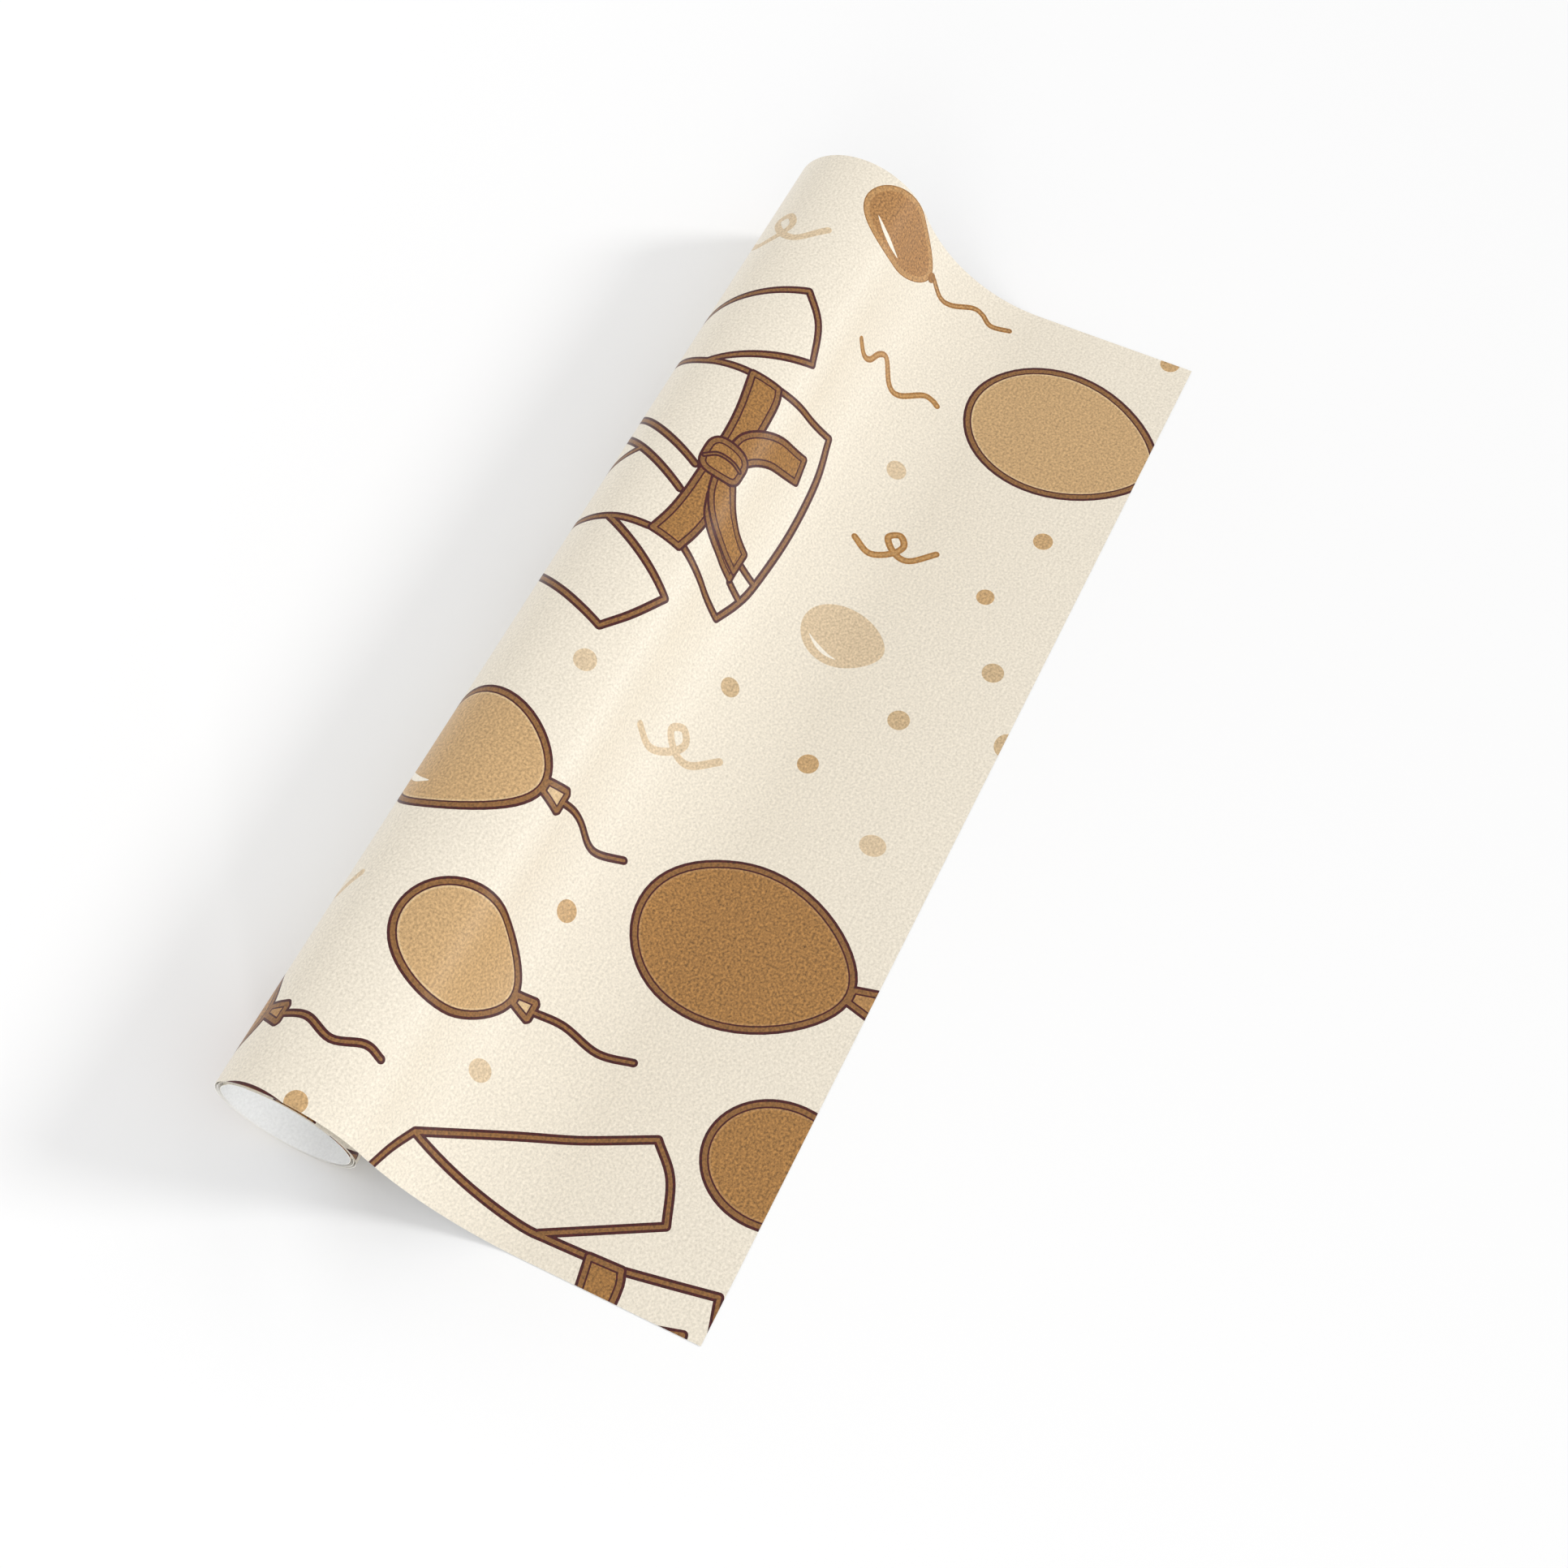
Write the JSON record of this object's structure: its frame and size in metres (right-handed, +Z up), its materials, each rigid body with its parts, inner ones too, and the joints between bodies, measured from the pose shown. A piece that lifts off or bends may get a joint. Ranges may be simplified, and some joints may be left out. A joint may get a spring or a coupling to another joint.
{
  "type": "wrapping paper roll",
  "caption": "Loosely wound roll of printed gift wrap with its free end drawn over the crest and laid out flat, for covering presents.",
  "frame": {"origin": "middle of the whole shape's footprint, on the surface that the roll and its flat tail rest on", "axes": "+X along the roll's axis, the free edge of the sheet towards -Y, +Z up"},
  "size_m": [0.5, 0.201, 0.0614],
  "materials": {
    "printed_paper": "uncoated cream paper with a brown and tan party print on one side and a plain white reverse"
  },
  "bodies": {
    "roll": {"outer_turn": "printed_paper"},
    "middle_turn": {"middle_turn": "printed_paper"},
    "inner_turn": {"inner_turn": "printed_paper"},
    "shoulder_back": {"shoulder_back": "printed_paper"},
    "shoulder_crest": {"shoulder_crest": "printed_paper"},
    "shoulder_front": {"shoulder_front": "printed_paper"},
    "shoulder_brow": {"shoulder_brow": "printed_paper"},
    "fall_upper": {"fall_upper": "printed_paper"},
    "fall_middle": {"fall_middle": "printed_paper"},
    "fall_lower": {"fall_lower": "printed_paper"},
    "fall_foot": {"fall_foot": "printed_paper"},
    "tail_root": {"tail_root": "printed_paper"},
    "tail_inner": {"tail_inner": "printed_paper"},
    "tail_outer": {"tail_outer": "printed_paper"},
    "tail_edge": {"tail_edge": "printed_paper"}
  },
  "joints": [
    {"name": "turn_twist", "type": "hinge", "parent": "roll", "child": "middle_turn", "pos_m": [0, 0.0705, 0.03], "axis": [-1, 0, 0], "range_deg": [0, 15]},
    {"name": "inner_slide", "type": "slide", "parent": "middle_turn", "child": "inner_turn", "axis": [-1, 0, 0], "range_m": [0, 0.04]},
    {"name": "sheet_lift", "type": "hinge", "parent": "roll", "child": "shoulder_back", "pos_m": [0, 0.09308, 0.04963], "axis": [-1, 0, 0], "range_deg": [0, 18]},
    {"name": "crest_back_bend", "type": "hinge", "parent": "shoulder_back", "child": "shoulder_crest", "pos_m": [0, 0.07889, 0.05937], "axis": [-1, 0, 0], "range_deg": [0, 18]},
    {"name": "crest_front_bend", "type": "hinge", "parent": "shoulder_crest", "child": "shoulder_front", "pos_m": [0, 0.06175, 0.06096], "axis": [-1, 0, 0], "range_deg": [0, 18]},
    {"name": "brow_bend", "type": "hinge", "parent": "shoulder_front", "child": "shoulder_brow", "pos_m": [0, 0.04601, 0.05401], "axis": [-1, 0, 0], "range_deg": [0, 18]},
    {"name": "foot_lift", "type": "hinge", "parent": "shoulder_brow", "child": "fall_upper", "pos_m": [0, 0.03564, 0.04028], "axis": [-1, 0, 0], "range_deg": [0, 18]},
    {"name": "fall_middle_bend", "type": "hinge", "parent": "fall_upper", "child": "fall_middle", "pos_m": [0, 0.02581, 0.02388], "axis": [-1, 0, 0], "range_deg": [0, 18]},
    {"name": "fall_lower_bend", "type": "hinge", "parent": "fall_middle", "child": "fall_lower", "pos_m": [0, 0.01165, 0.01105], "axis": [-1, 0, 0], "range_deg": [0, 18]},
    {"name": "fall_foot_bend", "type": "hinge", "parent": "fall_lower", "child": "fall_foot", "pos_m": [0, -0.00563, 0.00288], "axis": [-1, 0, 0], "range_deg": [0, 18]},
    {"name": "edge_curl", "type": "hinge", "parent": "fall_foot", "child": "tail_root", "pos_m": [0, -0.02453, 0.00007], "axis": [-1, 0, 0], "range_deg": [0, 18]},
    {"name": "tail_inner_bend", "type": "hinge", "parent": "tail_root", "child": "tail_inner", "pos_m": [0, -0.04352, 0.00007], "axis": [-1, 0, 0], "range_deg": [0, 18]},
    {"name": "tail_outer_bend", "type": "hinge", "parent": "tail_inner", "child": "tail_outer", "pos_m": [0, -0.06252, 0.00007], "axis": [-1, 0, 0], "range_deg": [0, 18]},
    {"name": "tail_edge_bend", "type": "hinge", "parent": "tail_outer", "child": "tail_edge", "pos_m": [0, -0.08151, 0.00007], "axis": [-1, 0, 0], "range_deg": [0, 18]}
  ],
  "couplings": [
    {"joint": "crest_back_bend", "follows": "sheet_lift", "ratio": 1},
    {"joint": "crest_front_bend", "follows": "sheet_lift", "ratio": 1},
    {"joint": "brow_bend", "follows": "sheet_lift", "ratio": 1},
    {"joint": "fall_middle_bend", "follows": "foot_lift", "ratio": 1},
    {"joint": "fall_lower_bend", "follows": "foot_lift", "ratio": 1},
    {"joint": "fall_foot_bend", "follows": "foot_lift", "ratio": 1},
    {"joint": "tail_inner_bend", "follows": "edge_curl", "ratio": 1},
    {"joint": "tail_outer_bend", "follows": "edge_curl", "ratio": 1},
    {"joint": "tail_edge_bend", "follows": "edge_curl", "ratio": 1}
  ]
}
